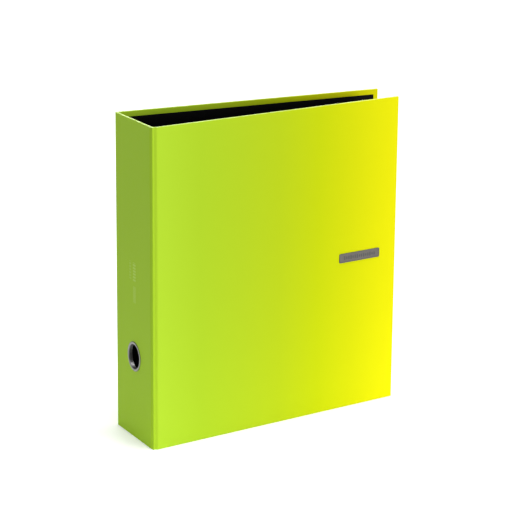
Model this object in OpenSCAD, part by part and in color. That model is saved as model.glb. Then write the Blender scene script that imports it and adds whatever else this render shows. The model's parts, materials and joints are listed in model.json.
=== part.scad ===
// Lever arch file standing upright: a covered board case in three hinged
// panels, with a sprung two-arch mechanism riveted inside the back cover.
// X runs from the spine to the fore edge, Y from the front cover to the back
// cover and Z up. The origin is the middle of the footprint.

/* [Case] */
// Height of the case
case_h = 318; // [300:1:330]
// Width of the covers, from the spine's outer face to the fore edge
cover_w = 294; // [270:1:310]
// Depth of the case at the spine, over both covers
case_d = 86; // [82:1:96]
// Angle by which the empty front cover leans in towards the back cover
cover_lean = 7.6; // [4:0.1:8]
// Thickness of the greyboard inside each panel
board_t = 2.0; // [1.6:0.1:2.4]
// Thickness of the printed paper wrap
wrap_t = 0.3; // [0.2:0.05:0.4]
// Thickness of the black paper liner
liner_t = 0.3; // [0.2:0.05:0.4]
// Depth of the wrap's turn-in on the inner side
turn_in = 15; // [12:1:20]
// Edge of the wrap that the liner leaves uncovered
liner_margin = 5.5; // [3:0.5:8]

/* [Fold] */
// Distance from a panel's outer face to its fold line
fold_in = 2.6; // [2.4:0.1:3]
// Radius of the soft fold at each corner
fold_r = 2.2; // [1.8:0.1:2.2]

/* [Finger ring] */
// Inside diameter of the finger ring
ring_bore_d = 24.4; // [20:0.2:28]
// Outside diameter of its flange
ring_flange_d = 30.2; // [26:0.2:34]
// Height of the ring's centre above the base
ring_z = 83.2; // [70:0.2:100]
// Height of the outer flange over the spine
ring_proud = 1.0; // [0.6:0.1:1.4]

/* [Cover badge] */
// Length of the metal badge on the front cover
badge_l = 51; // [40:1:60]
// Height of the badge
badge_h = 9.6; // [8:0.2:12]
// Height of its face over the cover
badge_t = 0.7; // [0.5:0.1:1]
// Distance from the spine to the badge's middle
badge_x = 247.5; // [200:0.5:260]

/* [Mechanism] */
// Distance between the two rings, as for standard punched paper
ring_pitch = 80; // [80:1:80]
// Distance from the spine to the posts
post_x = 72; // [70:0.5:75]
// Radius of a post
post_r = 2.2; // [2:0.1:2.4]
// Height of a post over the back cover's lining
post_h = 44; // [40:1:48]
// Distance from the spine to the arch shaft
shaft_x = 42; // [41:0.5:43]
// Height of the arch shaft over the lining
shaft_v = 8.5; // [8:0.1:9]
// Radius of the arch wire
wire_r = 1.9; // [1.6:0.1:2]
// Length of the base plate
plate_l = 140; // [136:1:150]
// Width of the base plate
plate_w = 54; // [52:1:58]
// Thickness of the base plate
plate_t = 1.2; // [1:0.1:1.4]
// Width of the lever
lever_w = 13; // [13:0.5:14]
// Radius of the pressure roller
roller_r = 3; // [2.8:0.1:3]

/* [Hidden] */
$fn = 48;
eps = 0.5;               // how far a cutter runs past the face it cuts
fit = 0.05;              // radial clearance of a running fit
press = 0.02;            // radial clearance of a fixed pin

skin_t = wrap_t + board_t + wrap_t;      // panel without its liner
panel_t = skin_t + liner_t;
fold_gap = 2 * fold_in;                  // board-free strip at a corner
rivet_head_t = 0.8;
rivet_head_r = 4;
rivet_r = 1.6;
front_low = fold_in * (1 + sin(cover_lean) - cos(cover_lean)); // foremost edge
x0 = ring_proud / 2 - cover_w / 2;
y0 = -(case_d + rivet_head_t + front_low) / 2;
ring_wall = 0.6;
ring_edge_r = 0.45;

arch_w = ring_pitch / 2;
arch_span_r = (post_x - shaft_x) / 2;
arch_v = 50;             // height of the arches' centres
tip_gap = 0.2;
tip_r = 1.3;
tip_h = 0.8;
bend_r = 3;
foot_r = 4;              // bend between a leg and the shaft
crank_x = 8;
crank_w0 = 6;
crank_w1 = 16;
post_foot_r = 3.5;
post_foot_t = 0.8;
post_bore_r = 1.5;
post_bore_h = 3;
groove_v = 11;           // just over the compressor's bushes at rest
groove_t = 0.8;
groove_depth = 0.2;

eye_w = 30;
eye_t = 3;
eye_r = 3.4;
plate_x = 30;
plate_r = 5;
rivet_w = 62;
rivet_in = 6;
rib_h = 1.4;
rib_w = 2;
rib_l = 60;

pivot_w = 26;
pivot_v = 10;
pin_r = 1.5;
ear_t = 1.2;
ear_r = 4;
ear_gap = 0.8;
lever_x = 47;
lever_t = 1.0;
lever_roof_v = 17.4;
lever_roof_t = 1.2;
lever_ear_r = 4.2;
lever_end_w = -28.5;
curl_r = 2.8;
roller_w = 12;
roller_gap = 0.3;
roller_v = shaft_v + wire_r + roller_gap + roller_r;

bar_l = 106;
bar_w = 12;
bar_t = 1.2;
bar_v = 5.4;
bar_rim_h = 1.6;
grip_r = 5.4;
grip_neck_r = 4;
grip_v = 2.5;
grip_h = 8;

spring_wire_r = 0.55;
spring_r = 2.75;
spring_turns = 8;
spring_w0 = -18;
spring_w1 = 2;
spring_steps = 14;       // points in one turn
spring_sides = 8;

lime = [0.74, 0.86, 0.16];
black = [0.06, 0.06, 0.065];
grey_board = [0.55, 0.5, 0.44];
nickel = [0.75, 0.75, 0.76];
steel = [0.62, 0.63, 0.65];

// Places: each panel is drawn with x along its width and y from its outer
// face inwards, and the mechanism with x from the spine, y up the file and
// z out of the back cover's lining.

module on_back() {
    translate([x0, y0 + case_d, 0]) mirror([0, 1, 0]) children();
}

module on_spine() {
    translate([x0, y0, 0]) mirror([1, -1, 0]) children();
}

module on_front() {
    translate([x0 + fold_in, y0 + fold_in, 0])
        rotate([0, 0, cover_lean])
            translate([-fold_in, -fold_in, 0])
                children();
}

module on_mechanism() {
    translate([x0, y0 + case_d - panel_t, case_h / 2]) rotate([90, 0, 0]) children();
}

// Panel layers

module turn_in_frame(u0, u1, free_end, depth) {
    side = free_end ? turn_in : -eps;
    difference() {
        translate([u0, wrap_t + board_t, 0]) cube([u1 - u0, depth, case_h]);
        translate([u0 - eps, wrap_t + board_t - eps, turn_in])
            cube([u1 - u0 + eps - side, depth + 2 * eps, case_h - 2 * turn_in]);
    }
}

module board_layer(u0, u1, free_end) {
    edge = free_end ? wrap_t : 0;
    translate([u0, wrap_t, wrap_t])
        cube([u1 - u0 - edge, board_t, case_h - 2 * wrap_t]);
}

module wrap_layer(u0, u1, free_end) {
    edge = free_end ? wrap_t : -eps;
    difference() {
        translate([u0, 0, 0]) cube([u1 - u0, wrap_t + board_t, case_h]);
        translate([u0 - eps, wrap_t, wrap_t])
            cube([u1 - u0 + eps - edge, board_t + eps, case_h - 2 * wrap_t]);
    }
    turn_in_frame(u0, u1, free_end, wrap_t);
}

module liner_layer(u0, u1, free_end) {
    side = free_end ? liner_margin : 0;
    difference() {
        translate([u0, wrap_t + board_t, liner_margin])
            cube([u1 - u0 - side, wrap_t + liner_t, case_h - 2 * liner_margin]);
        turn_in_frame(u0 - eps, u1 + (free_end ? 0 : eps), free_end, wrap_t);
    }
}

// Holes in the panels

module rivet_holes() {
    on_mechanism() rivet_places() translate([0, 0, -panel_t - eps])
        cylinder(h = panel_t + plate_t + 2 * eps, r = rivet_r + press);
}

module rivet_places() {
    for (x = [plate_x + rivet_in, plate_x + plate_w - rivet_in], w = [-rivet_w, rivet_w])
        translate([x, w, 0]) children();
}

module ring_hole() {
    on_spine() translate([case_d / 2, -eps, ring_z]) rotate([-90, 0, 0])
        cylinder(h = panel_t + 2 * eps, r = ring_bore_d / 2 + ring_wall + fit);
}

// Back cover

module back_board() {
    color(grey_board) difference() {
        on_back() board_layer(fold_gap, cover_w, true);
        rivet_holes();
    }
}

module back_wrap() {
    color(lime) difference() {
        on_back() wrap_layer(fold_gap, cover_w, true);
        rivet_holes();
    }
}

module back_liner() {
    color(black) difference() {
        on_back() liner_layer(fold_gap, cover_w, true);
        rivet_holes();
    }
}

// Spine

module spine_board() {
    color(grey_board) difference() {
        on_spine() board_layer(fold_gap, case_d - fold_gap, false);
        ring_hole();
    }
}

module spine_wrap() {
    color(lime) difference() {
        on_spine() wrap_layer(fold_gap, case_d - fold_gap, false);
        ring_hole();
    }
}

module spine_liner() {
    color(black) difference() {
        on_spine() liner_layer(fold_gap, case_d - fold_gap, false);
        ring_hole();
    }
}

// Front cover

module front_board() {
    color(grey_board) on_front() board_layer(fold_gap, cover_w, true);
}

module front_wrap() {
    color(lime) on_front() wrap_layer(fold_gap, cover_w, true);
}

module front_liner() {
    color(black) on_front() liner_layer(fold_gap, cover_w, true);
}

// Soft folds between the panels, each round its own fold line

module fold_strip(y) {
    translate([x0 + fold_in, y, 0]) cylinder(h = case_h, r = fold_r);
}

module back_fold() {
    color(lime) fold_strip(y0 + case_d - fold_in);
}

module front_fold() {
    color(lime) fold_strip(y0 + fold_in);
}

// Finger ring, pressed through the spine from outside, and its washer

module ring_flange(inner_r, t) {
    rim = ring_flange_d / 2 - ring_edge_r;
    rotate_extrude() {
        translate([inner_r, 0]) square([rim - inner_r, t]);
        translate([rim, t / 2]) scale(t / 2 / ring_edge_r) circle(r = ring_edge_r);
    }
}

module finger_ring() {
    color(nickel) on_spine() translate([case_d / 2, 0, ring_z]) rotate([90, 0, 0])
        difference() {
            union() {
                ring_flange(ring_bore_d / 2, ring_proud);
                translate([0, 0, -panel_t])
                    cylinder(h = panel_t + eps, r = ring_bore_d / 2 + ring_wall);
            }
            translate([0, 0, -panel_t - eps])
                cylinder(h = panel_t + ring_proud + 2 * eps, r = ring_bore_d / 2);
        }
}

module finger_ring_washer() {
    washer_t = 0.8;
    color(nickel) on_spine() translate([case_d / 2, panel_t + washer_t, ring_z])
        rotate([90, 0, 0]) ring_flange(ring_bore_d / 2, washer_t);
}

// Plain metal badge on the front cover

module cover_badge() {
    corner_r = 1.8;
    color(steel) on_front()
        translate([badge_x, 0, case_h / 2]) rotate([90, 0, 0])
            linear_extrude(badge_t) rounded_rect(badge_l, badge_h, corner_r);
}

module rounded_rect(l, h, r) {
    square([l - 2 * r, h], center = true);
    square([l, h - 2 * r], center = true);
    for (sx = [-1, 1], sy = [-1, 1])
        translate([sx * (l / 2 - r), sy * (h / 2 - r)]) circle(r = r);
}

// Base plate with the shaft's eyes and the lever's ears

module base_plate() {
    ear_xs = [lever_x - ear_gap - ear_t, lever_x + lever_w + ear_gap];
    color(nickel) on_mechanism() difference() {
        union() {
            translate([plate_x + plate_w / 2, 0, 0])
                linear_extrude(plate_t) rounded_rect(plate_w, plate_l, plate_r);
            translate([plate_x + plate_w - rivet_in, 0, plate_t]) plate_rib();
            for (s = [-1, 1]) translate([shaft_x, s * eye_w, 0]) shaft_eye();
            for (x = ear_xs) translate([x, pivot_w, 0]) pin_ear();
        }
        rivet_places() translate([0, 0, -eps])
            cylinder(h = plate_t + 2 * eps, r = rivet_r + press);
        for (s = [-1, 1]) translate([post_x, s * arch_w, -eps])
            cylinder(h = plate_t + 2 * eps, r = rivet_r + press);
        translate([shaft_x, -eye_w - eye_t, shaft_v]) rotate([-90, 0, 0])
            cylinder(h = 2 * (eye_w + eye_t), r = wire_r + fit);
        translate([ear_xs[0] - eps, pivot_w, pivot_v]) rotate([0, 90, 0])
            cylinder(h = ear_xs[1] - ear_xs[0] + ear_t + 2 * eps, r = pin_r + press);
    }
}

module plate_rib() {
    translate([0, 0, rib_h / 2]) cube([rib_w, rib_l, rib_h], center = true);
}

module shaft_eye() {
    translate([-eye_r, -eye_t / 2, 0]) cube([2 * eye_r, eye_t, shaft_v]);
    translate([0, -eye_t / 2, shaft_v]) rotate([-90, 0, 0]) cylinder(h = eye_t, r = eye_r);
}

module pin_ear() {
    translate([0, -ear_r, 0]) cube([ear_t, 2 * ear_r, pivot_v]);
    translate([0, 0, pivot_v]) rotate([0, 90, 0]) cylinder(h = ear_t, r = ear_r);
}

// Four rivets through the back cover and the plate

module base_rivets() {
    color(nickel) on_mechanism() rivet_places() {
        translate([0, 0, -panel_t]) cylinder(h = panel_t + plate_t, r = rivet_r);
        translate([0, 0, -panel_t - rivet_head_t])
            cylinder(h = rivet_head_t, r1 = rivet_head_r - 1, r2 = rivet_head_r);
        translate([0, 0, plate_t])
            cylinder(h = rivet_head_t, r1 = rivet_head_r - 1, r2 = rivet_head_r - 1.6);
    }
}

// Fixed posts: a hollow top takes the arch's tip, and a shallow groove just
// over the compressor's resting place parts the free length from the rest

module post(w) {
    color(nickel) on_mechanism() translate([post_x, w, 0]) difference() {
        union() {
            cylinder(h = plate_t, r = rivet_r);
            translate([0, 0, plate_t]) cylinder(h = post_foot_t, r = post_foot_r);
            translate([0, 0, plate_t]) cylinder(h = post_h - plate_t, r = post_r - groove_depth);
            translate([0, 0, plate_t]) cylinder(h = groove_v - plate_t, r = post_r);
            translate([0, 0, groove_v + groove_t]) cylinder(h = post_h - groove_v - groove_t, r = post_r);
        }
        translate([0, 0, post_h - post_bore_h])
            cylinder(h = post_bore_h + eps, r = post_bore_r);
    }
}

module post_upper() {
    post(arch_w);
}

module post_lower() {
    post(-arch_w);
}

// Arch wire: one bent wire that is both arches, their shaft and its crank

module wire_bend(r, turn) {
    rotate(turn) rotate_extrude(angle = 90) translate([r, 0]) circle(r = wire_r);
}

module wire_up(p, len) {
    translate(p) cylinder(h = len, r = wire_r);
}

module wire_along(p, len) {
    translate(p) rotate([-90, 0, 0]) cylinder(h = len, r = wire_r);
}

module wire_across(p, len) {
    translate(p) rotate([0, 90, 0]) cylinder(h = len, r = wire_r);
}

module arch_side() {
    leg_v = shaft_v + foot_r;
    translate([shaft_x, arch_w - foot_r, leg_v]) wire_bend(foot_r, [0, 90, 0]);
    wire_up([shaft_x, arch_w, leg_v], arch_v - leg_v);
    translate([shaft_x + arch_span_r, arch_w, arch_v]) rotate([90, 0, 0])
        rotate_extrude(angle = 180) translate([arch_span_r, 0]) circle(r = wire_r);
    wire_up([post_x, arch_w, post_h + tip_gap], arch_v - post_h - tip_gap);
    translate([post_x, arch_w, post_h + tip_gap - tip_h]) cylinder(h = tip_h, r1 = 0, r2 = tip_r);
}

module shaft_crank() {
    mid_w = (crank_w0 + crank_w1) / 2;
    out_x = shaft_x + crank_x;
    for (s = [-1, 1]) translate([0, mid_w, 0]) mirror([0, s < 0 ? 1 : 0, 0]) {
        half = (crank_w1 - crank_w0) / 2;
        wire_along([out_x, 0, shaft_v], half - bend_r);
        translate([out_x - bend_r, half - bend_r, shaft_v]) wire_bend(bend_r, [0, 0, 0]);
        wire_across([shaft_x + bend_r, half, shaft_v], crank_x - 2 * bend_r);
        translate([shaft_x + bend_r, half + bend_r, shaft_v]) wire_bend(bend_r, [0, 0, 180]);
    }
}

module arch_wire() {
    low_end = foot_r - arch_w;
    color(steel) on_mechanism() {
        for (s = [-1, 1]) mirror([0, s < 0 ? 1 : 0, 0]) arch_side();
        wire_along([shaft_x, low_end, shaft_v], crank_w0 - bend_r - low_end);
        wire_along([shaft_x, crank_w1 + bend_r, shaft_v], arch_w - foot_r - crank_w1 - bend_r);
        shaft_crank();
    }
}

// Torsion spring on the shaft, with a leg on the plate and one on the crank

function spring_point(i) =
    let (turn = 360 * i / spring_steps - 90, f = i / (spring_turns * spring_steps))
    [shaft_x + spring_r * cos(turn), spring_w0 + (spring_w1 - spring_w0) * f,
        shaft_v + spring_r * sin(turn)];

spring_path = concat(
    [[shaft_x - 9, spring_w0, plate_t + spring_wire_r + 0.1],
        [shaft_x - 4, spring_w0, shaft_v - spring_r - 1.2]],
    [for (i = [0:spring_turns * spring_steps]) spring_point(i)],
    [[shaft_x + 3, spring_w1 + 1.4, shaft_v - spring_r],
        [shaft_x + 6.5, crank_w0, shaft_v - spring_r]]
);

function unit(v) = v / norm(v);
function path_dir(p, i) = unit(p[min(i + 1, len(p) - 1)] - p[max(i - 1, 0)]);
function ring_at(p, i, r, n) =
    let (d = path_dir(p, i), side = unit(cross(d, [0, 1, 0.001])), up = cross(side, d))
    [for (k = [0:n - 1]) p[i] + r * (side * cos(360 * k / n) + up * sin(360 * k / n))];

module swept_wire(p, r, n) {
    last = len(p) - 1;
    polyhedron(
        points = [for (i = [0:last]) each ring_at(p, i, r, n)],
        faces = concat(
            [[for (k = [0:n - 1]) k]],
            [for (i = [0:last - 1], k = [0:n - 1])
                [i * n + k, (i + 1) * n + k, (i + 1) * n + (k + 1) % n, i * n + (k + 1) % n]],
            [[for (k = [n - 1:-1:0]) last * n + k]]
        ),
        convexity = 6
    );
}

module arch_spring() {
    color(steel) on_mechanism() swept_wire(spring_path, spring_wire_r, spring_sides);
}

// Lever: a folded channel with a rolled end, its profile drawn up the file

module lever_profile() {
    top_v = lever_roof_v + lever_roof_t;
    back_w = pivot_w + lever_ear_r;
    translate([pivot_w, pivot_v]) circle(r = lever_ear_r);
    polygon([
        [back_w, pivot_v], [back_w, top_v], [lever_end_w, top_v], [lever_end_w, lever_roof_v],
        [-22, 15.6], [-8, 13], [8, 11.2], [20, 11.2], [pivot_w - lever_ear_r, pivot_v]
    ]);
}

module across_lever(x, t) {
    translate([x, 0, 0]) rotate([90, 0, 90]) linear_extrude(t) children();
}

module lever() {
    curl_t = 1.2;
    color(nickel) on_mechanism() {
        difference() {
            union() {
                for (x = [lever_x, lever_x + lever_w - lever_t]) across_lever(x, lever_t) lever_profile();
                across_lever(lever_x, lever_w)
                    translate([lever_end_w, lever_roof_v])
                        square([pivot_w + lever_ear_r - lever_end_w, lever_roof_t]);
            }
            translate([lever_x - eps, pivot_w, pivot_v]) rotate([0, 90, 0])
                cylinder(h = lever_w + 2 * eps, r = pin_r + fit);
            translate([lever_x - eps, roller_w, roller_v]) rotate([0, 90, 0])
                cylinder(h = lever_w + 2 * eps, r = pin_r + press);
        }
        translate([lever_x, lever_end_w, lever_roof_v + curl_r]) rotate([0, 90, 0])
            rotate_extrude(angle = 270, start = 90)
                translate([curl_r - curl_t, 0]) square([curl_t, lever_w]);
    }
}

module lever_pin() {
    head_t = 0.8;
    start_x = lever_x - ear_gap - ear_t - 0.3;
    end_x = lever_x + lever_w + ear_gap + ear_t;
    color(steel) on_mechanism() translate([start_x, pivot_w, pivot_v]) rotate([0, 90, 0]) {
        cylinder(h = end_x - start_x, r = pin_r);
        translate([0, 0, end_x - start_x]) cylinder(h = head_t, r = pin_r + 0.9);
    }
}

module pressure_roller() {
    side_gap = 0.3;
    start_x = lever_x + lever_t + side_gap;
    color(steel) on_mechanism() translate([start_x, roller_w, roller_v]) rotate([0, 90, 0])
        difference() {
            cylinder(h = lever_w - 2 * (lever_t + side_gap), r = roller_r);
            translate([0, 0, -eps]) cylinder(h = lever_w + 2 * eps, r = pin_r + fit);
        }
}

module roller_pin() {
    proud = 0.4;
    color(nickel) on_mechanism() translate([lever_x - proud, roller_w, roller_v]) rotate([0, 90, 0])
        cylinder(h = lever_w + 2 * proud, r = pin_r);
}

// Compressor bar with a gripping bush round each post

module compressor_bar() {
    rim_t = 1.2;
    color(nickel) on_mechanism() translate([post_x, 0, bar_v]) difference() {
        union() {
            linear_extrude(bar_t) rounded_rect(bar_w, bar_l, bar_w / 2 - 0.1);
            for (s = [-1, 1]) translate([s * (bar_w - rim_t) / 2, 0, bar_t + bar_rim_h / 2])
                cube([rim_t, bar_l - bar_w, bar_rim_h], center = true);
        }
        for (s = [-1, 1]) translate([0, s * arch_w, -eps])
            cylinder(h = bar_t + 2 * eps, r = grip_neck_r + press);
    }
}

module compressor_grip(w) {
    below = bar_v - grip_v;
    above = grip_h - below - bar_t;
    color(black) on_mechanism() translate([post_x, w, grip_v]) difference() {
        union() {
            cylinder(h = below, r = grip_r - 0.6);
            cylinder(h = grip_h, r = grip_neck_r);
            translate([0, 0, below + bar_t]) cylinder(h = above, r1 = grip_r - 0.8, r2 = grip_neck_r);
        }
        translate([0, 0, -eps]) cylinder(h = grip_h + 2 * eps, r = post_r + fit);
    }
}

module compressor_grip_upper() {
    compressor_grip(arch_w);
}

module compressor_grip_lower() {
    compressor_grip(-arch_w);
}

back_board();
back_wrap();
back_liner();
spine_board();
spine_wrap();
spine_liner();
front_board();
front_wrap();
front_liner();
back_fold();
front_fold();
finger_ring();
finger_ring_washer();
cover_badge();
base_plate();
base_rivets();
post_upper();
post_lower();
arch_wire();
arch_spring();
lever();
lever_pin();
pressure_roller();
roller_pin();
compressor_bar();
compressor_grip_upper();
compressor_grip_lower();
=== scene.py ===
import json
import math
import bpy
from mathutils import Matrix, Vector


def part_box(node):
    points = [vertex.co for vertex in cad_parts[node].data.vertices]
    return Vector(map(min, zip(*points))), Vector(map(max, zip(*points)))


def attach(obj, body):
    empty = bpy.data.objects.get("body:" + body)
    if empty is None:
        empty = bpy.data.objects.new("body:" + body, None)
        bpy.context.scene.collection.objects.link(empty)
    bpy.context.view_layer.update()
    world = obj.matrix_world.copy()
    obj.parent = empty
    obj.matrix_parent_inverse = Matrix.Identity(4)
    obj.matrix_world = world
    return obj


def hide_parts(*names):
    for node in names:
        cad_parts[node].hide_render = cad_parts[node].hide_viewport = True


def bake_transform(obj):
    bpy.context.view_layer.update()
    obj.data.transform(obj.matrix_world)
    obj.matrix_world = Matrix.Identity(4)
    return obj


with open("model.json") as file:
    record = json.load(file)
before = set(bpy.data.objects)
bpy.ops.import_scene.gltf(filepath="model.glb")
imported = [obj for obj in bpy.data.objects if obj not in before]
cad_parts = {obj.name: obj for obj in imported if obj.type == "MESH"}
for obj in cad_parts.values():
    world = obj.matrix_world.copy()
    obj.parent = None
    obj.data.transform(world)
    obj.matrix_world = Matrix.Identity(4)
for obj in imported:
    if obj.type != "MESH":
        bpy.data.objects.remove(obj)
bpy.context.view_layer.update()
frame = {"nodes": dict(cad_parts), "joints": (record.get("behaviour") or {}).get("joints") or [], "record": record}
mm = 0.001
weldWithin = 0.001 * mm        # points closer than this are one point
squareOn = 0.99                # a face's normal is along an axis from here up
nodes = frame["nodes"]
print("frame loaded")


# the case, as its panels are built

caseFacts = {
    "foldIn": 2.6 * mm,        # from a panel's outer face to its fold line
    "coverLean": math.radians(7.6),
    "skinDepth": 2.6 * mm,     # board with its wrap on both sides
    "paper": 0.3 * mm,
    "turnIn": 15 * mm,
    "edgeRound": 0.55 * mm,
    "edgeSteps": 4,
    "smoothUnder": 40,         # degrees
}

joints = {j["name"]: j for j in frame["joints"]}
backWrapLow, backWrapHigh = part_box("back_wrap")
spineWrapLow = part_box("spine_wrap")[0]
caseHeight = backWrapHigh.z - backWrapLow.z
spineFace = spineWrapLow.x                     # outer face of the spine
backFace = backWrapHigh.y                      # outer face of the back cover
coverWidth = backWrapHigh.x - spineFace
frontFold = Vector(joints["cover_fold"]["pos_m"])
backFold = Vector(joints["spine_fold"]["pos_m"])
frontFace = frontFold.y - caseFacts["foldIn"]  # outer face of the front cover at the spine
caseDepth = backFace - frontFace
boardStart = backWrapLow.x - spineFace         # board-free width beside each corner


# panel places: x along the panel from its corner, y inwards from its outer face
swapXY = Matrix(((0, 1, 0), (1, 0, 0), (0, 0, 1))).to_4x4()
onSpine = Matrix.Translation((spineFace, frontFace, 0)) @ swapXY
onBack = Matrix.Translation((spineFace, backFace, 0)) @ Matrix.Scale(-1, 4, (0, 1, 0))
foldShift = Vector((caseFacts["foldIn"], caseFacts["foldIn"], 0))
onFront = (
    Matrix.Translation((frontFold.x, frontFold.y, 0))
    @ Matrix.Rotation(caseFacts["coverLean"], 4, "Z")
    @ Matrix.Translation(-foldShift)
)


# small steps that every piece uses

def clearSelection():
    if bpy.context.object and bpy.context.object.mode != "OBJECT":
        bpy.ops.object.mode_set(mode="OBJECT")
    bpy.ops.object.select_all(action="DESELECT")


def takeUp(piece):
    clearSelection()
    piece.select_set(True)
    bpy.context.view_layer.objects.active = piece


def addBlock(name, size, centre):
    clearSelection()
    bpy.ops.mesh.primitive_cube_add(size=1, location=centre, scale=size)
    piece = bpy.context.object
    piece.name = piece.data.name = name
    bpy.ops.object.transform_apply(location=True, rotation=True, scale=True)
    return piece


def startEdit(piece, kind):
    takeUp(piece)
    bpy.ops.object.mode_set(mode="EDIT")
    bpy.ops.mesh.select_mode(type=kind)
    bpy.ops.mesh.select_all(action="DESELECT")
    bpy.ops.object.mode_set(mode="OBJECT")


def selectFaces(piece, wanted):
    startEdit(piece, "FACE")
    for face in piece.data.polygons:
        face.select = wanted(face)
    bpy.ops.object.mode_set(mode="EDIT")


def selectEdges(piece, wanted):
    startEdit(piece, "EDGE")
    points = piece.data.vertices
    for edge in piece.data.edges:
        a, b = (points[i].co for i in edge.vertices)
        edge.select = wanted((a + b) / 2, b - a)
    bpy.ops.object.mode_set(mode="EDIT")


def endEdit():
    bpy.ops.object.mode_set(mode="OBJECT")


def applyModifier(piece, kind, **settings):
    takeUp(piece)
    modifier = piece.modifiers.new(kind.title(), kind)
    for key, value in settings.items():
        setattr(modifier, key, value)
    bpy.ops.object.modifier_apply(modifier=modifier.name)


def faceOut(piece):
    takeUp(piece)
    bpy.ops.object.mode_set(mode="EDIT")
    bpy.ops.mesh.select_all(action="SELECT")
    bpy.ops.mesh.normals_make_consistent(inside=False)
    bpy.ops.object.mode_set(mode="OBJECT")


def smoothBy(piece, degrees, broadFaces=False):
    takeUp(piece)
    bpy.ops.object.shade_smooth_by_angle(angle=math.radians(degrees))
    if broadFaces:
        # a broad face stays flat right up to its rounded edge
        applyModifier(piece, "WEIGHTED_NORMAL", keep_sharp=True, weight=100)


def setDown(piece, place):
    piece.data.transform(place)
    faceOut(piece)


def finishPiece(piece, body, material, slotName, *replaced):
    piece.data.materials.clear()
    piece.data.materials.append(material)
    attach(piece, body)
    if replaced:
        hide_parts(*replaced)


# node trees: short helpers to add, set and join nodes

def newFinish(name, **sockets):
    finish = bpy.data.materials.new(name)
    finish.use_nodes = True
    shader = finish.node_tree.nodes["Principled BSDF"]
    for key, value in sockets.items():
        shader.inputs[key.replace("_", " ")].default_value = value
    return finish, finish.node_tree, shader


def addNode(tree, kind, inputs=None, **settings):
    made = tree.nodes.new("ShaderNode" + kind)
    for key, value in settings.items():
        setattr(made, key, value)
    for key, value in (inputs or {}).items():
        if isinstance(value, bpy.types.NodeSocket):
            tree.links.new(value, made.inputs[key])
        else:
            made.inputs[key].default_value = value
    return made


def objectPlace(tree, scale=(1, 1, 1)):
    place = addNode(tree, "TexCoord")
    return addNode(tree, "Mapping", {"Vector": place.outputs["Object"], "Scale": scale}).outputs["Vector"]


def noise(tree, place, scale, detail=3.0, rough=0.5):
    made = addNode(tree, "TexNoise", {"Vector": place, "Scale": scale, "Detail": detail, "Roughness": rough})
    return made.outputs["Fac"]


def span(tree, value, low, high, fromLow=0.0, fromHigh=1.0):
    made = addNode(tree, "MapRange", {"Value": value, "From Min": fromLow, "From Max": fromHigh,
                                      "To Min": low, "To Max": high})
    return made.outputs["Result"]


def ramp(tree, value, stops):
    made = addNode(tree, "ValToRGB", {"Fac": value})
    points = made.color_ramp.elements
    while len(points) < len(stops):
        points.new(0.5)
    for point, (at, colour) in zip(points, stops):
        point.position = at
        point.color = (*colour, 1)
    return made.outputs["Color"]


def blendColour(tree, amount, first, second, how="MIX"):
    # a Mix node has one set of sockets for each kind of value: these are the colour ones
    amountIn, firstIn, secondIn, colourOut = 0, 6, 7, 2
    made = addNode(tree, "Mix", {amountIn: amount}, data_type="RGBA", blend_type=how)
    for index, value in ((firstIn, first), (secondIn, second)):
        if isinstance(value, bpy.types.NodeSocket):
            tree.links.new(value, made.inputs[index])
        else:
            made.inputs[index].default_value = (*value, 1)
    return made.outputs[colourOut]


def maths(tree, how, first, second=0.0, third=0.0):
    made = addNode(tree, "Math", {0: first, 1: second, 2: third}, operation=how)
    return made.outputs[0]


def bump(tree, shader, height, distance, strength):
    made = addNode(tree, "Bump", {"Height": height, "Distance": distance, "Strength": strength})
    tree.links.new(made.outputs["Normal"], shader.inputs["Normal"])


# finishes

wrapLook = {
    # print across the cover, from the spine (0) to the fore edge (1); the spine itself is the first tone
    "stops": (
        (0.000, (0.273, 0.447, 0.0210)),
        (0.012, (0.322, 0.499, 0.0269)),
        (0.180, (0.300, 0.451, 0.0188)),
        (0.340, (0.318, 0.442, 0.0148)),
        (0.500, (0.344, 0.442, 0.0094)),
        (0.660, (0.402, 0.470, 0.0034)),
        (0.800, (0.482, 0.505, 0.0026)),
        (0.920, (0.564, 0.550, 0.0020)),
        (1.000, (0.616, 0.576, 0.0020)),
    ),
    "footPaintedLight": 0.22,           # how much lighter the print is made at the foot: painted light
    "footSpread": 2,            # power of the height: a high one keeps the painted light low down
    "spineFootPaintedLight": 0.20,      # and more painted light on the spine, right at the foot, besides
    "spineFootSpread": 12,
    "spineDepth": 0.6 * mm,     # print this close to the spine's face belongs to the spine
    "wornPale": (0.66, 0.85, 0.24),
    "wornWidth": 0.6 * mm,      # rubbed strip along the head and foot edges
    "wornFull": 0.3,            # part of that strip where the rub is full
    "wornScale": 160.0,
    "wornPatches": (0.12, 0.42, 0.35, 0.6),    # least and most rub, and the noise they stand for
    "fibreScale": 2600,
    "fibreTone": (0.9, 0.98, 0.1),
    "fibreAmount": 0.10,
    "filmScale": 420,
    "filmRough": (0.40, 0.54),
    "cloudScale": 9.0,
    "cloudTone": (0.31, 0.43, 0.01),
    "cloudAmount": 0.06,
    "relief": 0.04 * mm,
    "reliefStrength": 0.35,
    # columns of short printed bars on the spine: middle, width, lowest, highest, spacing, strength
    "marks": ((-1.7 * mm, 6.4 * mm, 158.5 * mm, 178 * mm, 3.0 * mm, 0.42),
              (-1.7 * mm, 6.4 * mm, 137.5 * mm, 154 * mm, 1.5 * mm, 0.34),
              (7.6 * mm, 4.6 * mm, 160 * mm, 178 * mm, 3.0 * mm, 0.20)),
    "markGap": 0.18,            # part of the spacing left open beside each bar
    "markDepth": 0.2 * mm,      # bars lie only this close to the spine's face
    "markPale": (0.50, 0.66, 0.16),
}


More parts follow.
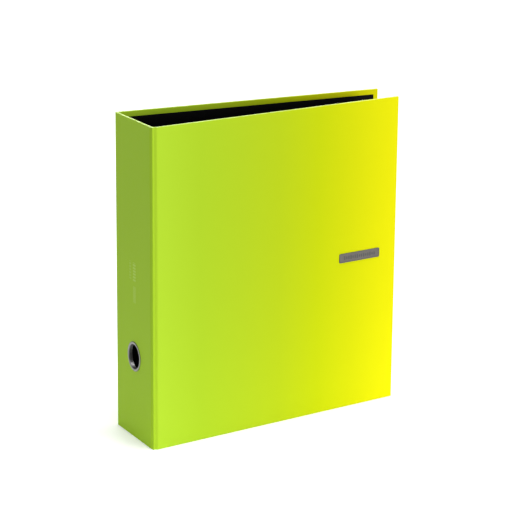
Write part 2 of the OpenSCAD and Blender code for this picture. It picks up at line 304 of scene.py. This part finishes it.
def makeWrapFinish():
    finish, tree, shader = newFinish("printedWrap", Roughness=0.46, Specular_IOR_Level=0.04,
                                     Specular_Tint=(0.85, 1.0, 0.06, 1))
    place = objectPlace(tree)
    parts = addNode(tree, "SeparateXYZ", {"Vector": place}).outputs
    along = span(tree, parts["X"], 0, 1, spineFace, spineFace + coverWidth)
    printed = ramp(tree, along, wrapLook["stops"])
    # painted light: the print is made lighter towards the foot, and more so at the spine's foot
    low = span(tree, parts["Z"], 1, 0, 0, caseHeight)
    footLow = maths(tree, "POWER", low, wrapLook["footSpread"])
    paintedFootLift = maths(tree, "MULTIPLY_ADD", footLow, wrapLook["footPaintedLight"], 1.0)
    onSpineFace = maths(tree, "LESS_THAN", parts["X"], spineFace + wrapLook["spineDepth"])
    spineLow = maths(tree, "MULTIPLY", maths(tree, "POWER", low, wrapLook["spineFootSpread"]), onSpineFace)
    paintedFootLift = maths(tree, "MULTIPLY_ADD", spineLow, wrapLook["spineFootPaintedLight"], paintedFootLift)
    printed = addNode(tree, "VectorMath", {0: printed, "Scale": paintedFootLift}, operation="SCALE").outputs["Vector"]
    fibre = noise(tree, place, wrapLook["fibreScale"], 2.0)
    film = noise(tree, place, wrapLook["filmScale"], 3.0)
    cloud = noise(tree, place, wrapLook["cloudScale"], 3.0, 0.6)
    clouded = span(tree, cloud, 0.0, wrapLook["cloudAmount"])
    toned = blendColour(tree, clouded, printed, wrapLook["cloudTone"])
    fibred = span(tree, fibre, 0.0, wrapLook["fibreAmount"])
    toned = blendColour(tree, fibred, toned, wrapLook["fibreTone"], "SOFT_LIGHT")
    toned = blendColour(tree, wornEdge(tree, parts["Z"], place), toned, wrapLook["wornPale"])
    toned = blendColour(tree, spineMarks(tree, parts), toned, wrapLook["markPale"])
    tree.links.new(toned, shader.inputs["Base Color"])
    tree.links.new(span(tree, film, *wrapLook["filmRough"]), shader.inputs["Roughness"])
    grain = maths(tree, "ADD", maths(tree, "MULTIPLY", fibre, 0.5), film)
    bump(tree, shader, grain, wrapLook["relief"], wrapLook["reliefStrength"])
    return finish


def wornEdge(tree, height, place):
    width = wrapLook["wornWidth"]
    full = width * wrapLook["wornFull"]
    head = span(tree, height, 0, 1, caseHeight - width, caseHeight - full)
    foot = span(tree, height, 1, 0, full, width)
    patchy = span(tree, noise(tree, place, wrapLook["wornScale"], 4.0, 0.7), *wrapLook["wornPatches"])
    return maths(tree, "MULTIPLY", maths(tree, "MAXIMUM", head, foot), patchy)


def spineMarks(tree, parts):
    onFace = maths(tree, "LESS_THAN", parts["X"], spineFace + wrapLook["markDepth"])
    shown = None
    for middle, wide, low, high, pitch, strength in wrapLook["marks"]:
        across = maths(tree, "COMPARE", parts["Y"], middle, wide / 2)
        tall = maths(tree, "COMPARE", parts["Z"], (low + high) / 2, (high - low) / 2)
        toBar = maths(tree, "PINGPONG", parts["Z"], pitch / 2)
        bars = maths(tree, "GREATER_THAN", toBar, pitch * wrapLook["markGap"])
        column = maths(tree, "MULTIPLY", maths(tree, "MULTIPLY", across, tall), bars)
        column = maths(tree, "MULTIPLY", column, strength)
        shown = column if shown is None else maths(tree, "ADD", shown, column)
    return maths(tree, "MULTIPLY", shown, onFace)


linerLook = {
    "black": (0.0020, 0.0020, 0.0023),
    "cloudTone": (0.0050, 0.0050, 0.0056),
    "cloudScale": 14.0,
    "lintTone": (0.012, 0.012, 0.013),
    "lintScale": 900.0,
    "lintStretch": (1, 1, 0.2),
    "lintFrom": (0.66, 0.8),    # only the brightest of the noise shows as lint
    "rough": (0.62, 0.8),
    "grainScale": 1300,
    "relief": 0.08 * mm,
    "reliefStrength": 0.5,
}


def makeLinerFinish():
    finish, tree, shader = newFinish("blackLining", Roughness=0.8, Specular_IOR_Level=0.04)
    place = objectPlace(tree)
    grain = addNode(tree, "TexVoronoi", {"Vector": place, "Scale": linerLook["grainScale"]})
    cloud = noise(tree, place, linerLook["cloudScale"], 4.0)
    lint = noise(tree, objectPlace(tree, linerLook["lintStretch"]), linerLook["lintScale"], 2.0)
    tone = blendColour(tree, span(tree, cloud, 0.0, 0.5), linerLook["black"], linerLook["cloudTone"])
    linted = span(tree, lint, 0.0, 0.5, *linerLook["lintFrom"])
    tone = blendColour(tree, linted, tone, linerLook["lintTone"])
    tree.links.new(tone, shader.inputs["Base Color"])
    tree.links.new(span(tree, cloud, *linerLook["rough"]), shader.inputs["Roughness"])
    bump(tree, shader, grain.outputs["Distance"], linerLook["relief"], linerLook["reliefStrength"])
    return finish


boardLook = {
    "flecks": ((0.3, (0.30, 0.26, 0.21)), (0.7, (0.48, 0.43, 0.36))),
    "fleckScale": 700.0,
    "relief": 0.1 * mm,
    "reliefStrength": 0.6,
}


def makeBoardFinish():
    finish, tree, shader = newFinish("greyBoard", Roughness=0.9, Specular_IOR_Level=0.15)
    fleck = noise(tree, objectPlace(tree), boardLook["fleckScale"], 4.0, 0.7)
    tree.links.new(ramp(tree, fleck, boardLook["flecks"]), shader.inputs["Base Color"])
    bump(tree, shader, fleck, boardLook["relief"], boardLook["reliefStrength"])
    return finish


plateLook = {
    # tint, least and most roughness, and how the brushing is stretched
    "nickel": ((0.52, 0.52, 0.50), 0.22, 0.36, (1, 1, 1)),
    "ring": ((0.25, 0.25, 0.245), 0.34, 0.50, (1, 1, 1)),
    "wire": ((0.54, 0.54, 0.53), 0.18, 0.30, (1, 1, 1)),
    "spring": ((0.36, 0.36, 0.38), 0.26, 0.42, (1, 1, 1)),
    "badge": ((0.200, 0.195, 0.208), 0.42, 0.55, (1, 1, 14)),
    # the badge's rim and bevels: a darker copy of the badge metal, painted shade
    "badgeRimPaintedShade": ((0.105, 0.098, 0.090), 0.40, 0.52, (1, 1, 14)),
    "streakScale": 1500.0,
    "cloudScale": 60.0,
    "cloudDull": 0.86,          # the tint's share that is left in the dullest cloud
    "scratchScale": 260.0,
    "scratchStretch": (1, 1, 12),
    "scratchFrom": (0.55, 0.8),
    "scratchRough": 0.12,
    "relief": 0.03 * mm,
    "reliefStrength": 0.25,
}


def makePlateFinish(name, kind):
    tint, roughLow, roughHigh, brushed = plateLook[kind]
    finish, tree, shader = newFinish(name, Metallic=1.0, Specular_IOR_Level=0.5)
    streaks = noise(tree, objectPlace(tree, brushed), plateLook["streakScale"], 3.0, 0.6)
    cloud = noise(tree, objectPlace(tree), plateLook["cloudScale"], 4.0, 0.6)
    along = objectPlace(tree, plateLook["scratchStretch"])
    scratch = noise(tree, along, plateLook["scratchScale"], 2.0)
    dull = tuple(c * plateLook["cloudDull"] for c in tint)
    tone = blendColour(tree, span(tree, cloud, 0.0, 0.8), tint, dull)
    tree.links.new(tone, shader.inputs["Base Color"])
    scratched = span(tree, scratch, 0.0, plateLook["scratchRough"], *plateLook["scratchFrom"])
    wear = maths(tree, "ADD", span(tree, cloud, roughLow, roughHigh), scratched)
    tree.links.new(wear, shader.inputs["Roughness"])
    bump(tree, shader, streaks, plateLook["relief"], plateLook["reliefStrength"])
    return finish


plasticLook = {
    "black": (0.018, 0.018, 0.020),
    "worn": (0.030, 0.030, 0.032),
    "wornScale": 120.0,
    "rough": (0.36, 0.52),
    "sparkScale": 1800.0,
    "relief": 0.05 * mm,
    "reliefStrength": 0.4,
}


def makePlasticFinish():
    finish, tree, shader = newFinish("mouldedBlack", Roughness=0.42, Specular_IOR_Level=0.45)
    place = objectPlace(tree)
    spark = noise(tree, place, plasticLook["sparkScale"], 2.0)
    cloud = noise(tree, place, plasticLook["wornScale"], 3.0)
    tone = blendColour(tree, span(tree, cloud, 0.0, 0.6), plasticLook["black"], plasticLook["worn"])
    tree.links.new(tone, shader.inputs["Base Color"])
    tree.links.new(span(tree, cloud, *plasticLook["rough"]), shader.inputs["Roughness"])
    bump(tree, shader, spark, plasticLook["relief"], plasticLook["reliefStrength"])
    return finish


wrapFinish = makeWrapFinish()
linerFinish = makeLinerFinish()
boardFinish = makeBoardFinish()
nickelFinish = makePlateFinish("nickelPlate", "nickel")
ringFinish = makePlateFinish("satinRing", "ring")
wireFinish = makePlateFinish("nickelWire", "wire")
springFinish = makePlateFinish("springSteel", "spring")
badgeFinish = makePlateFinish("badgeMetal", "badge")
badgeRimShadeFinish = makePlateFinish("badgeRimPaintedShade", "badgeRimPaintedShade")
plasticFinish = makePlasticFinish()


def paintRimShadeAndReflection(finish, centre, start, end, colour):
    # a ring's colour turns towards the given colour from the start to the end distance from its axis: painted
    # shade and a painted green reflection on the lip's outer edge
    tree = finish.node_tree
    shader = tree.nodes["Principled BSDF"]
    clean = shader.inputs["Base Color"].links[0].from_socket
    place = objectPlace(tree, (0, 1, 1))
    away = addNode(tree, "VectorMath", {0: place, 1: centre}, operation="DISTANCE").outputs["Value"]
    tone = blendColour(tree, span(tree, away, 0, 1, start, end), clean, colour)
    tree.links.new(tone, shader.inputs["Base Color"])


ringLow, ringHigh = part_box("finger_ring")
ringCentre = (ringLow + ringHigh) / 2
# olive at the lip's outer edge: painted shade with a painted reflection of the green cover
rimShadeAndReflectionLook = {"start": 13.8 * mm, "end": 14.9 * mm, "colour": (0.15, 0.19, 0.06)}
paintRimShadeAndReflection(ringFinish, (0, ringCentre.y, ringCentre.z), **rimShadeAndReflectionLook)
print("finishes made")


# printed skins of the three panels

def makeSkin(name, start, end, freeEnd):
    depth, paper = caseFacts["skinDepth"], caseFacts["paper"]
    middle = Vector(((start + end) / 2, depth / 2, caseHeight / 2))
    skin = addBlock(name, (end - start, depth, caseHeight), middle)
    near = 0.05 * mm           # closer than this is the same place

    def outerEdge(place, along):
        atEnd = abs(place.x - end) < near
        atTop = abs(place.z - middle.z) > caseHeight / 2 - near
        if abs(place.x - start) < near or (atEnd and not freeEnd):
            return False
        return atTop or atEnd

    selectEdges(skin, outerEdge)
    bpy.ops.mesh.bevel(offset=caseFacts["edgeRound"], segments=caseFacts["edgeSteps"], profile=0.5,
                       affect="EDGES")
    endEdit()
    openEnds = [start] if freeEnd else [start, end]
    selectFaces(skin, lambda f: any(abs(f.center.x - e) < near for e in openEnds))
    bpy.ops.mesh.delete(type="FACE")
    endEdit()
    # a strip is turned in along each closed edge, and the middle is left open
    selectFaces(skin, lambda f: f.normal.y > squareOn and f.center.y > depth - near)
    bpy.ops.mesh.inset(thickness=caseFacts["turnIn"], depth=0, use_boundary=False)
    endEdit()
    selectFaces(skin, lambda f: f.normal.y > squareOn and abs(f.center.z - middle.z) < near
                and abs(f.center.x - middle.x) < caseFacts["turnIn"])
    bpy.ops.mesh.delete(type="FACE")
    endEdit()
    applyModifier(skin, "SOLIDIFY", thickness=paper, offset=-1, use_even_offset=True)
    return skin


frontSkin = makeSkin("frontCoverSkin", boardStart, coverWidth, True)
backSkin = makeSkin("backCoverSkin", boardStart, coverWidth, True)
spineSkin = makeSkin("spineSkin", boardStart, caseDepth - boardStart, False)
setDown(frontSkin, onFront)
setDown(backSkin, onBack)
setDown(spineSkin, onSpine)
print("skins made")


# finger ring: a rolled eyelet through the spine and its washer inside

ringLook = {
    "bore": 12.2 * mm,
    "wall": 0.6 * mm,
    "lip": 15.0 * mm,
    "proud": 0.7 * mm,
    "lipSteps": 10,
    "lipFull": 0.8,             # a power: below 1 the lip is fuller than an oval
    "washerGap": 0.02 * mm,     # between the barrel and the washer
    "washerShort": 0.1 * mm,    # how much smaller the washer is than the lip
    "steps": 96,
    "smoothUnder": 40,
}
washerLow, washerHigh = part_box("finger_ring_washer")
lookOut = Matrix.Rotation(math.radians(-90), 4, "Y")      # z of a turned piece points out of the spine


def turnRing(name, outline, place):
    clearSelection()
    bpy.ops.mesh.primitive_circle_add(vertices=len(outline), radius=1, fill_type="NGON")
    ring = bpy.context.object
    ring.name = ring.data.name = name
    for point, (r, h) in zip(ring.data.vertices, outline):
        point.co = (r, 0, h)
    bpy.ops.object.mode_set(mode="EDIT")
    bpy.ops.mesh.select_all(action="SELECT")
    bpy.ops.mesh.delete(type="ONLY_FACE")
    bpy.ops.mesh.select_all(action="SELECT")
    bpy.ops.mesh.spin(steps=ringLook["steps"], angle=math.tau, center=(0, 0, 0), axis=(0, 0, 1))
    bpy.ops.mesh.select_all(action="SELECT")
    bpy.ops.mesh.remove_doubles(threshold=weldWithin)
    endEdit()
    setDown(ring, place)
    smoothBy(ring, ringLook["smoothUnder"])
    return ring


def domedEdge(inner, outer, height):
    # half an oval from the bore's mouth over the lip to its seat
    middle, reach, steps = (inner + outer) / 2, (outer - inner) / 2, ringLook["lipSteps"]
    line = [(inner, 0.0)]
    for i in range(1, steps):
        a = math.pi * (1 - i / steps)
        line.append((middle + reach * math.cos(a), height * math.sin(a) ** ringLook["lipFull"]))
    return line + [(outer, 0.0)]


bore, wall, lip = ringLook["bore"], ringLook["wall"], ringLook["lip"]
barrelEnd = spineFace - ringHigh.x
ringSeat = Vector((spineFace, ringCentre.y, ringCentre.z))
ringOutline = [(bore, barrelEnd)] + domedEdge(bore, lip, ringLook["proud"])
ringOutline += [(bore + wall, 0.0), (bore + wall, barrelEnd)]
fingerRing = turnRing("fingerRing", ringOutline, Matrix.Translation(ringSeat) @ lookOut)
washerSeat = Vector((washerLow.x, ringCentre.y, ringCentre.z))
washerEdge = domedEdge(bore + ringLook["washerGap"], lip - ringLook["washerShort"],
                       washerHigh.x - washerLow.x)
washerOutline = [(r, -h) for r, h in washerEdge]
ringWasher = turnRing("fingerRingWasher", washerOutline, Matrix.Translation(washerSeat) @ lookOut)


def cutHole(piece, radius, centre):
    clearSelection()
    bpy.ops.mesh.primitive_cylinder_add(vertices=ringLook["steps"], radius=radius, depth=30 * mm,
                                        location=centre, rotation=(0, math.radians(90), 0))
    cutter = bpy.context.object
    applyModifier(piece, "BOOLEAN", object=cutter, operation="DIFFERENCE", solver="EXACT")
    bpy.data.objects.remove(cutter)


cutHole(spineSkin, bore + wall, ringSeat)
for skin in (frontSkin, backSkin, spineSkin):
    smoothBy(skin, caseFacts["smoothUnder"], True)
finishPiece(frontSkin, "front_cover", wrapFinish, "printed_paper", "front_wrap")
finishPiece(backSkin, "back", wrapFinish, "printed_paper", "back_wrap")
finishPiece(spineSkin, "spine", wrapFinish, "printed_paper", "spine_wrap")
finishPiece(fingerRing, "spine", ringFinish, "nickel_plate", "finger_ring")
finishPiece(ringWasher, "spine", ringFinish, "nickel_plate", "finger_ring_washer")
print("finger ring made")


# creased folds between the panels

foldLook = {
    "paper": 0.9 * mm,          # wrap, turn-in and lining together
    # bends of the outer line in mm from the sharp corner: along the cover, along the spine
    "frontBends": ((0.0, 5.4), (0.55, 4.5), (0.6, 2.7), (1.0, 1.8), (3.0, 1.55), (4.3, 0.55)),
    "backBends": ((0.0, 2.60), (0.45, 1.50), (1.10, 0.60), (2.20, 0.12), (3.20, 0.50), (4.00, 0.10)),
    "rounds": 2,
    "cutAt": 0.2,               # where a round cuts each stretch, from either end
    "hollowShape": 0.6,         # a power: the lower, the squarer the hollow inside
    "smoothUnder": 50,
}


def roundLine(line):
    # each round cuts every bend in two
    cutAt = foldLook["cutAt"]
    for _ in range(foldLook["rounds"]):
        cut = [line[0]]
        for a, b in zip(line, line[1:]):
            cut += [a.lerp(b, cutAt), a.lerp(b, 1 - cutAt)]
        line = cut + [line[-1]]
    return line


def makeFold(name, bends, sharp, coverOuter, spineOuter, coverInner, spineInner, foldLine):
    alongCover, alongSpine = (coverOuter - sharp).normalized(), (spineOuter - sharp).normalized()
    line = [sharp + alongCover * (c * mm) + alongSpine * (s * mm) for c, s in bends]
    outer = roundLine([spineOuter] + line + [coverOuter])
    count = len(outer)
    clearSelection()
    bpy.ops.mesh.primitive_grid_add(x_subdivisions=count - 1, y_subdivisions=1, size=2)
    fold = bpy.context.object
    fold.name = fold.data.name = name
    waist = foldLine + (alongCover + alongSpine).normalized() * foldLook["paper"]
    for point in fold.data.vertices:
        step = round((point.co.x + 1) / 2 * (count - 1))
        t = step / (count - 1)
        if point.co.y < 0:
            spot = outer[step]
        else:
            # a deep hollow inside, where only paper is left
            spot = spineInner.lerp(coverInner, t)
            if 0 < step < count - 1:
                spot = spot.lerp(waist, math.sin(math.pi * t) ** foldLook["hollowShape"])
        point.co = (spot.x, spot.y, 0)
    bpy.ops.object.mode_set(mode="EDIT")
    bpy.ops.mesh.select_all(action="SELECT")
    bpy.ops.mesh.extrude_region_move(TRANSFORM_OT_translate={"value": (0, 0, caseHeight)})
    endEdit()
    faceOut(fold)
    smoothBy(fold, foldLook["smoothUnder"])
    return fold


def onPlan(place, x, y):
    spot = place @ Vector((x, y, 0))
    return Vector((spot.x, spot.y, 0))


skinDepth = caseFacts["skinDepth"]
frontStart = onPlan(onFront, boardStart, 0)
frontAlong = (onPlan(onFront, coverWidth, 0) - frontStart).normalized()
spineFront, spineBack = onPlan(onSpine, boardStart, 0), onPlan(onSpine, caseDepth - boardStart, 0)
backStart = onPlan(onBack, boardStart, 0)
# where the cover's face, carried on, meets the spine's
frontSharp = frontStart - frontAlong * ((frontStart.x - spineFace) / frontAlong.x)
backSharp = onPlan(onBack, 0, 0)
frontStrip = makeFold("frontFoldStrip", foldLook["frontBends"], frontSharp, frontStart, spineFront,
                      onPlan(onFront, boardStart, skinDepth), onPlan(onSpine, boardStart, skinDepth),
                      Vector((frontFold.x, frontFold.y, 0)))
backStrip = makeFold("backFoldStrip", foldLook["backBends"], backSharp, backStart, spineBack,
                     onPlan(onBack, boardStart, skinDepth),
                     onPlan(onSpine, caseDepth - boardStart, skinDepth),
                     Vector((backFold.x, backFold.y, 0)))
for strip, cover, first, last, nodeName in (
        (frontStrip, "front_cover", spineFront, frontStart, "front_fold"),
        (backStrip, "back", spineBack, backStart, "back_fold")):
    strip.data.materials.append(wrapFinish)
    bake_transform(strip)
    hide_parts(nodeName)
print("folds made")


# badge: a plain bevelled plate with a sunk face and a row of inlaid bars

badgeLook = {
    "length": 51 * mm,
    "height": 9.6 * mm,
    "thick": 0.7 * mm,
    "corner": 1.3 * mm,
    "fromSpine": 247.5 * mm,    # its middle, along the cover
    "cornerSteps": 8,
    "edgeRound": 0.2 * mm,
    "edgeSteps": 3,
    "rim": 0.8 * mm,
    "rimSlope": 0.15 * mm,
    "sunk": 0.2 * mm,
    "bars": 15,
    "barPitch": 2.7 * mm,
    "barWide": 1.35 * mm,
    "barDeep": 0.3 * mm,
    "barSet": 0.1 * mm,         # how far the bar's middle lies below the sunk face
    "barRound": 0.42,           # radius of the bar's ends as a share of its width
    "barSteps": 4,
    "barHeights": (4.4 * mm, 2.8 * mm, 3.6 * mm),     # in turn along the row
    "smoothUnder": 35,
}


def makeBadge():
    length, height, thick = badgeLook["length"], badgeLook["height"], badgeLook["thick"]
    centre = Vector((badgeLook["fromSpine"], -thick / 2, caseHeight / 2))
    plate = addBlock("coverBadgePlate", (length, thick, height), centre)
    selectEdges(plate, lambda place, along: abs(along.y) > thick / 2)
    bpy.ops.mesh.bevel(offset=badgeLook["corner"], segments=badgeLook["cornerSteps"], profile=0.5,
                       affect="EDGES")
    endEdit()
    selectFaces(plate, lambda f: f.normal.y < -squareOn)
    bpy.ops.mesh.bevel(offset=badgeLook["edgeRound"], segments=badgeLook["edgeSteps"], profile=0.5,
                       affect="EDGES")
    endEdit()
    # only the broad face, which fills more than half of the plate
    selectFaces(plate, lambda f: f.normal.y < -squareOn and f.area > length * height / 2)
    bpy.ops.mesh.inset(thickness=badgeLook["rim"], depth=0)
    bpy.ops.mesh.inset(thickness=badgeLook["rimSlope"], depth=-badgeLook["sunk"])
    endEdit()
    return plate, centre


def makeBars(centre):
    made = []
    face = centre.y - badgeLook["thick"] / 2 + badgeLook["sunk"]
    wide, deep = badgeLook["barWide"], badgeLook["barDeep"]
    for i in range(badgeLook["bars"]):
        tall = badgeLook["barHeights"][i % len(badgeLook["barHeights"])]
        x = centre.x + (i - (badgeLook["bars"] - 1) / 2) * badgeLook["barPitch"]
        middle = Vector((x, face + badgeLook["barSet"], centre.z))
        bar = addBlock("badgeBar", (wide, deep, tall), middle)
        selectEdges(bar, lambda place, along: abs(along.y) > deep / 2)
        bpy.ops.mesh.bevel(offset=wide * badgeLook["barRound"], segments=badgeLook["barSteps"],
                           profile=0.5, affect="EDGES")
        endEdit()
        made.append(bar)
    clearSelection()
    for bar in made:
        bar.select_set(True)
    bpy.context.view_layer.objects.active = made[0]
    bpy.ops.object.join()
    made[0].name = made[0].data.name = "coverBadgeBars"
    return made[0]


badge, badgeCentre = makeBadge()
badgeBars = makeBars(badgeCentre)
for piece in (badge, badgeBars):
    setDown(piece, onFront)
    smoothBy(piece, badgeLook["smoothUnder"], True)
finishPiece(badge, "front_cover", badgeFinish, "badge_metal", "cover_badge")
# the rim and its bevels get a darker copy of the badge metal, painted shade; the sunk face is the largest and
# keeps the plain metal
badge.data.materials.append(badgeRimShadeFinish)
fieldArea = max(face.area for face in badge.data.polygons)
for face in badge.data.polygons:
    face.material_index = 0 if face.area == fieldArea else 1
finishPiece(badgeBars, "front_cover", plasticFinish, "black_plastic")
print("badge made")


# mechanism: merged copies of the designed parts, with their stamped and cut edges rounded

mechanismLook = {
    # part: new name, size of the round, steps of the round, finish
    "base_plate": ("basePlateStamped", 0.30 * mm, 3, nickelFinish),
    "base_rivets": ("baseRivetHeads", 0.28 * mm, 3, nickelFinish),
    "post_upper": ("postUpperTurned", 0.20 * mm, 2, nickelFinish),
    "post_lower": ("postLowerTurned", 0.20 * mm, 2, nickelFinish),
    "lever": ("leverStamped", 0.28 * mm, 3, nickelFinish),
    "compressor_bar": ("compressorBarStamped", 0.26 * mm, 3, nickelFinish),
    "compressor_grip_upper": ("gripUpperMoulded", 0.24 * mm, 2, plasticFinish),
    "compressor_grip_lower": ("gripLowerMoulded", 0.24 * mm, 2, plasticFinish),
    "lever_pin": ("leverPinHeaded", 0.20 * mm, 3, wireFinish),
    "roller_pin": ("rollerPinHeaded", 0.20 * mm, 3, wireFinish),
    "pressure_roller": ("pressureRollerTurned", 0.35 * mm, 3, wireFinish),
    "arch_wire": ("archWireBent", 0.25 * mm, 3, wireFinish),
    "arch_spring": ("archSpringWound", 0.18 * mm, 2, springFinish),
}
roundFrom = 40                     # degrees: an edge at least this sharp is rounded
smoothUnder = 35                   # degrees
flatWithin = 0.5                   # degrees: faces that differ by less become one
bodies = frame["record"]["behaviour"]["bodies"]
bodyOf = {part: body for body, held in bodies.items() for part in held}
slotOf = {row["node"]: row["material_slot"] for row in frame["record"]["subparts"]}


def roundedCopy(part, name, width, steps):
    copy = bpy.data.objects.new(name, nodes[part].data.copy())
    copy.data.name = name
    bpy.context.scene.collection.objects.link(copy)
    takeUp(copy)
    bpy.ops.object.mode_set(mode="EDIT")
    bpy.ops.mesh.select_all(action="SELECT")
    bpy.ops.mesh.customdata_custom_splitnormals_clear()
    bpy.ops.mesh.remove_doubles(threshold=weldWithin)
    bpy.ops.mesh.dissolve_limited(angle_limit=math.radians(flatWithin))
    endEdit()
    applyModifier(copy, "BEVEL", width=width, segments=steps, limit_method="ANGLE",
                  angle_limit=math.radians(roundFrom))
    smoothBy(copy, smoothUnder, True)
    return copy


for part, (name, width, steps, finish) in mechanismLook.items():
    finishPiece(roundedCopy(part, name, width, steps), bodyOf[part], finish, slotOf[part], part)
print("mechanism made")


# finishes of the parts that stay as designed

finishOf = {
    "back_board": boardFinish, "spine_board": boardFinish, "front_board": boardFinish,
    "back_liner": linerFinish, "spine_liner": linerFinish, "front_liner": linerFinish,
}
for name, finish in finishOf.items():
    nodes[name].data.materials.clear()
    nodes[name].data.materials.append(finish)


# studio: pale glowing floor, soft sky, three soft suns, and the camera

studio = {
    "floor": 16.0,              # metres across
    "floorTone": (0.96, 0.96, 0.96),
    "floorCloud": 1.005,        # how much lighter the floor is in places
    "floorCloudScale": 3.0,
    "floorGlow": 0.10,
    "skyStrength": 0.15,
    "lampAway": 3.0,            # where the suns' handles stand; their light is the same from anywhere
    # strength, then in degrees: softness, direction to the right of straight in front, height
    "lamps": {
        "frontLamp": (2.09, 16, 30, 3.4),
        "topLamp": (3.5, 46, 32, 82),
        "backLamp": (1.5, 30, 160, 12),
    },
}


def makeFloor():
    clearSelection()
    bpy.ops.mesh.primitive_plane_add(size=studio["floor"], location=(0, 0, 0))
    floor = bpy.context.object
    floor.name = "studioFloor"
    finish, tree, shader = newFinish("paleFloor", Roughness=0.9, Specular_IOR_Level=0.0)
    cloud = noise(tree, objectPlace(tree), studio["floorCloudScale"], 2.0)
    pale = studio["floorTone"]
    paler = tuple(c * studio["floorCloud"] for c in pale)
    tone = blendColour(tree, cloud, pale, paler)
    tree.links.new(tone, shader.inputs["Base Color"])
    shader.inputs["Emission Strength"].default_value = studio["floorGlow"]
    shader.inputs["Emission Color"].default_value = (1, 1, 1, 1)
    floor.data.materials.append(finish)


def makeLight():
    world = bpy.data.worlds.new("softSky")
    bpy.context.scene.world = world
    world.use_nodes = True
    sky = world.node_tree.nodes["Background"]
    sky.inputs["Color"].default_value = (1, 1, 1, 1)
    sky.inputs["Strength"].default_value = studio["skyStrength"]
    for name, (strength, softness, azimuth, height) in studio["lamps"].items():
        a, e = math.radians(azimuth), math.radians(height)
        towards = Vector((math.sin(a) * math.cos(e), -math.cos(a) * math.cos(e), math.sin(e)))
        clearSelection()
        bpy.ops.object.light_add(type="SUN", location=towards * studio["lampAway"])
        lamp = bpy.context.object
        lamp.name = name
        lamp.rotation_euler = towards.to_track_quat("Z", "Y").to_euler()
        lamp.data.energy = strength
        lamp.data.angle = math.radians(softness)


cameraFacts = {
    "azimuth": math.radians(-28.02),      # to the left of straight in front
    "elevation": math.radians(15.22),
    "roll": math.radians(0.57),
    "distance": 2.0961,                   # from the middle of the case
    "lens": 144.23,
    "sensor": 36,
    "right": -5.79 * mm,                  # sideways and upwards from there
    "up": 1.58 * mm,
}


def makeCamera():
    a, e, roll = cameraFacts["azimuth"], cameraFacts["elevation"], cameraFacts["roll"]
    back = Vector((math.sin(a) * math.cos(e), -math.cos(a) * math.cos(e), math.sin(e)))
    right = Vector((0, 0, 1)).cross(back).normalized()
    up = back.cross(right)
    turnedRight = right * math.cos(roll) + up * math.sin(roll)
    turnedUp = up * math.cos(roll) - right * math.sin(roll)
    centre = Vector((spineFace + coverWidth / 2, (frontFace + backFace) / 2, caseHeight / 2))
    place = centre + back * cameraFacts["distance"]
    place += turnedRight * cameraFacts["right"] + turnedUp * cameraFacts["up"]
    turn = Matrix((turnedRight, turnedUp, back)).transposed().to_4x4()
    clearSelection()
    bpy.ops.object.camera_add(location=place)
    camera = bpy.context.object
    camera.matrix_world = Matrix.Translation(place) @ turn
    camera.data.lens = cameraFacts["lens"]
    camera.data.sensor_width = cameraFacts["sensor"]
    bpy.context.scene.camera = camera


makeFloor()
makeLight()
makeCamera()
bpy.context.scene.view_settings.view_transform = "Standard"
print("studio made")
